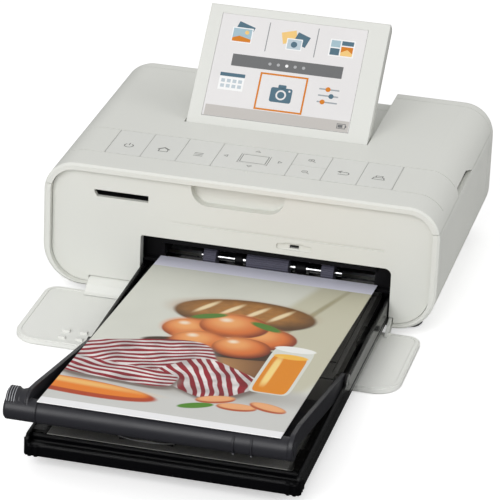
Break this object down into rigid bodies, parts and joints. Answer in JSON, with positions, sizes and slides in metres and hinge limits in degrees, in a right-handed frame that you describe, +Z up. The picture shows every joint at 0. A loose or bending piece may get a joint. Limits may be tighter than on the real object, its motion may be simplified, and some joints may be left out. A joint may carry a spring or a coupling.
{
  "type": "compact photo printer",
  "caption": "Compact photo printer with rounded sides, let-down front door, paper cassette in place and raised tilting screen.",
  "frame": {"origin": "under the middle of the whole object's box, on the surface it stands on", "axes": "+X to the right seen from the front, +Y to the back, +Z up"},
  "size_m": [0.1806, 0.3149, 0.1067],
  "materials": {
    "casing": "fine textured off-white plastic",
    "feet": "soft grey rubber",
    "steel": "plain turned steel",
    "black": "matt black plastic",
    "screen_light": "smooth off-white plastic",
    "screen_grey": "fine textured light grey plastic",
    "display": "display glass over a lit picture",
    "keys": "smooth off-white key plastic",
    "rubber_black": "black rubber",
    "board": "green circuit board",
    "tin": "tinned steel",
    "sheet_metal": "zinc plated sheet steel",
    "bright_shaft": "polished steel shaft",
    "roller_rubber": "ribbed grey-violet rubber",
    "gear_plastic": "white gear plastic",
    "brass_gear": "cut brass pinion",
    "ceramic": "glazed print head bar",
    "heat_metal": "extruded aluminium",
    "smoke_solid": "smoke-dark plastic shell",
    "ribbon_film": "dye coated film",
    "white_plastic": "white core plastic",
    "cassette_black": "glossy black cassette plastic",
    "smoke_clear": "smoke-tinted clear plastic",
    "lid_grey": "satin dark grey plastic",
    "paper": "coated photo paper"
  },
  "bodies": {
    "casing": {"top_cover": "casing", "front_panel": "casing", "bottom_case": "casing", "rear_cover": "casing", "rubber_feet": "feet", "rear_screws": "steel", "door_pins": "steel", "latch_catch": "black", "screen_hinge_pins": "steel", "key_mat": "rubber_black", "key_board": "board", "main_board": "board", "card_socket": "black", "usb_socket": "tin", "power_inlet": "black", "chassis": "sheet_metal", "bay_liner": "black", "print_rests": "black", "arm_rod": "steel", "feed_motor": "tin", "head_rod": "steel", "ink_cassette_shell": "smoke_solid", "ink_ribbon": "ribbon_film"},
    "front_door": {"front_door": "casing", "door_hinge_arms": "casing"},
    "ink_door": {"ink_door": "casing"},
    "screen": {"screen_frame": "screen_light", "screen_back": "screen_grey", "display_panel": "display"},
    "pickup_arm": {"pickup_arm": "black"},
    "pickup_rollers": {"pickup_shaft": "bright_shaft", "pickup_rollers": "roller_rubber"},
    "feed_roller": {"feed_roller": "steel", "feed_gear": "gear_plastic"},
    "pinch_roller": {"pinch_roller": "rubber_black"},
    "platen_roller": {"platen_roller": "rubber_black", "platen_gear": "gear_plastic"},
    "idler_gear": {"idler_gear": "gear_plastic"},
    "motor_pinion": {"motor_pinion": "brass_gear"},
    "print_head": {"print_head": "ceramic", "heat_sink": "heat_metal", "head_lever": "sheet_metal"},
    "supply_spool": {"supply_spool": "ribbon_film"},
    "takeup_spool": {"takeup_spool": "white_plastic"},
    "paper_cassette": {"cassette_base": "cassette_black", "cassette_front_cover": "smoke_clear", "lid_hinge_pins": "steel", "paper_stack": "paper"},
    "inner_lid": {"cassette_inner_lid": "smoke_clear"},
    "outer_lid": {"cassette_outer_lid": "lid_grey"},
    "print_sheet": {"print_sheet": "paper"},
    "power_button": {"power_button": "keys"},
    "home_button": {"home_button": "keys"},
    "menu_button": {"menu_button": "keys"},
    "ok_button": {"ok_button": "keys"},
    "zoom_in_button": {"zoom_in_button": "keys"},
    "zoom_out_button": {"zoom_out_button": "keys"},
    "back_button": {"back_button": "keys"},
    "print_button": {"print_button": "keys"},
    "direction_pad": {"direction_pad": "keys"}
  },
  "joints": [
    {"name": "front_door_hinge", "type": "hinge", "parent": "casing", "child": "front_door", "pos_m": [0.01, 0.02738, 0.0063], "axis": [-1, 0, 0], "range_deg": [0, 2]},
    {"name": "ink_door_hinge", "type": "hinge", "parent": "casing", "child": "ink_door", "pos_m": [0.08314, 0.08118, 0.01033], "axis": [0, 1, 0], "range_deg": [0, 85]},
    {"name": "screen_tilt", "type": "hinge", "parent": "casing", "child": "screen", "pos_m": [0, 0.09018, 0.06], "axis": [1, 0, 0], "range_deg": [-47, 0]},
    {"name": "pickup_lift", "type": "hinge", "parent": "casing", "child": "pickup_arm", "pos_m": [0, 0.05918, 0.027], "axis": [-1, 0, 0], "range_deg": [0, 8]},
    {"name": "pickup_turn", "type": "hinge", "parent": "pickup_arm", "child": "pickup_rollers", "pos_m": [0.01, 0.04118, 0.0185], "axis": [1, 0, 0], "continuous": true},
    {"name": "feed_turn", "type": "hinge", "parent": "casing", "child": "feed_roller", "pos_m": [0.01, 0.07118, 0.0162], "axis": [1, 0, 0], "continuous": true},
    {"name": "pinch_turn", "type": "hinge", "parent": "casing", "child": "pinch_roller", "pos_m": [0.01, 0.07118, 0.02355], "axis": [1, 0, 0], "continuous": true},
    {"name": "platen_turn", "type": "hinge", "parent": "casing", "child": "platen_roller", "pos_m": [0.01, 0.10448, 0.0152], "axis": [1, 0, 0], "continuous": true},
    {"name": "idler_turn", "type": "hinge", "parent": "casing", "child": "idler_gear", "pos_m": [-0.055, 0.08783, 0.0157], "axis": [1, 0, 0], "continuous": true},
    {"name": "pinion_turn", "type": "hinge", "parent": "casing", "child": "motor_pinion", "pos_m": [-0.055, 0.08783, 0.02785], "axis": [1, 0, 0], "continuous": true},
    {"name": "head_lower", "type": "hinge", "parent": "casing", "child": "print_head", "pos_m": [0.01, 0.13548, 0.045], "axis": [1, 0, 0], "range_deg": [0, 3.2]},
    {"name": "supply_turn", "type": "hinge", "parent": "casing", "child": "supply_spool", "pos_m": [0.01, 0.08748, 0.034], "axis": [1, 0, 0], "continuous": true},
    {"name": "takeup_turn", "type": "hinge", "parent": "casing", "child": "takeup_spool", "pos_m": [0.01, 0.12148, 0.034], "axis": [1, 0, 0], "continuous": true},
    {"name": "cassette_slide", "type": "slide", "parent": "casing", "child": "paper_cassette", "axis": [0, -1, 0], "range_m": [0, 0.06]},
    {"name": "inner_lid_hinge", "type": "hinge", "parent": "paper_cassette", "child": "inner_lid", "pos_m": [0.01, -0.05882, 0.0146], "axis": [1, 0, 0], "range_deg": [0, 1.2]},
    {"name": "outer_lid_hinge", "type": "hinge", "parent": "paper_cassette", "child": "outer_lid", "pos_m": [0.01, -0.05882, 0.0146], "axis": [-1, 0, 0], "range_deg": [0, 78]},
    {"name": "print_lift", "type": "hinge", "parent": "paper_cassette", "child": "print_sheet", "pos_m": [0.01, 0.03288, 0.0187], "axis": [-1, 0, 0], "range_deg": [0, 41]},
    {"name": "power_button_press", "type": "slide", "parent": "casing", "child": "power_button", "axis": [0, 0, -1], "range_m": [0, 0.00035], "stiffness_N_per_m": 600},
    {"name": "home_button_press", "type": "slide", "parent": "casing", "child": "home_button", "axis": [0, 0, -1], "range_m": [0, 0.00035], "stiffness_N_per_m": 600},
    {"name": "menu_button_press", "type": "slide", "parent": "casing", "child": "menu_button", "axis": [0, 0, -1], "range_m": [0, 0.00035], "stiffness_N_per_m": 600},
    {"name": "ok_button_press", "type": "slide", "parent": "casing", "child": "ok_button", "axis": [0, 0, -1], "range_m": [0, 0.00035], "stiffness_N_per_m": 600},
    {"name": "zoom_in_button_press", "type": "slide", "parent": "casing", "child": "zoom_in_button", "axis": [0, 0, -1], "range_m": [0, 0.00035], "stiffness_N_per_m": 600},
    {"name": "zoom_out_button_press", "type": "slide", "parent": "casing", "child": "zoom_out_button", "axis": [0, 0, -1], "range_m": [0, 0.00035], "stiffness_N_per_m": 600},
    {"name": "back_button_press", "type": "slide", "parent": "casing", "child": "back_button", "axis": [0, 0, -1], "range_m": [0, 0.00035], "stiffness_N_per_m": 600},
    {"name": "print_button_press", "type": "slide", "parent": "casing", "child": "print_button", "axis": [0, 0, -1], "range_m": [0, 0.00035], "stiffness_N_per_m": 600},
    {"name": "direction_pad_press", "type": "slide", "parent": "casing", "child": "direction_pad", "axis": [0, 0, -1], "range_m": [0, 0.00035], "stiffness_N_per_m": 600}
  ],
  "couplings": [
    {"joint": "platen_turn", "follows": "feed_turn", "ratio": 1},
    {"joint": "idler_turn", "follows": "feed_turn", "ratio": -0.94737},
    {"joint": "pinion_turn", "follows": "feed_turn", "ratio": 2.25},
    {"joint": "pinch_turn", "follows": "feed_turn", "ratio": -1.3333},
    {"joint": "supply_turn", "follows": "takeup_turn", "ratio": 0.7812},
    {"joint": "print_lift", "follows": "outer_lid_hinge", "ratio": 0.52}
  ]
}
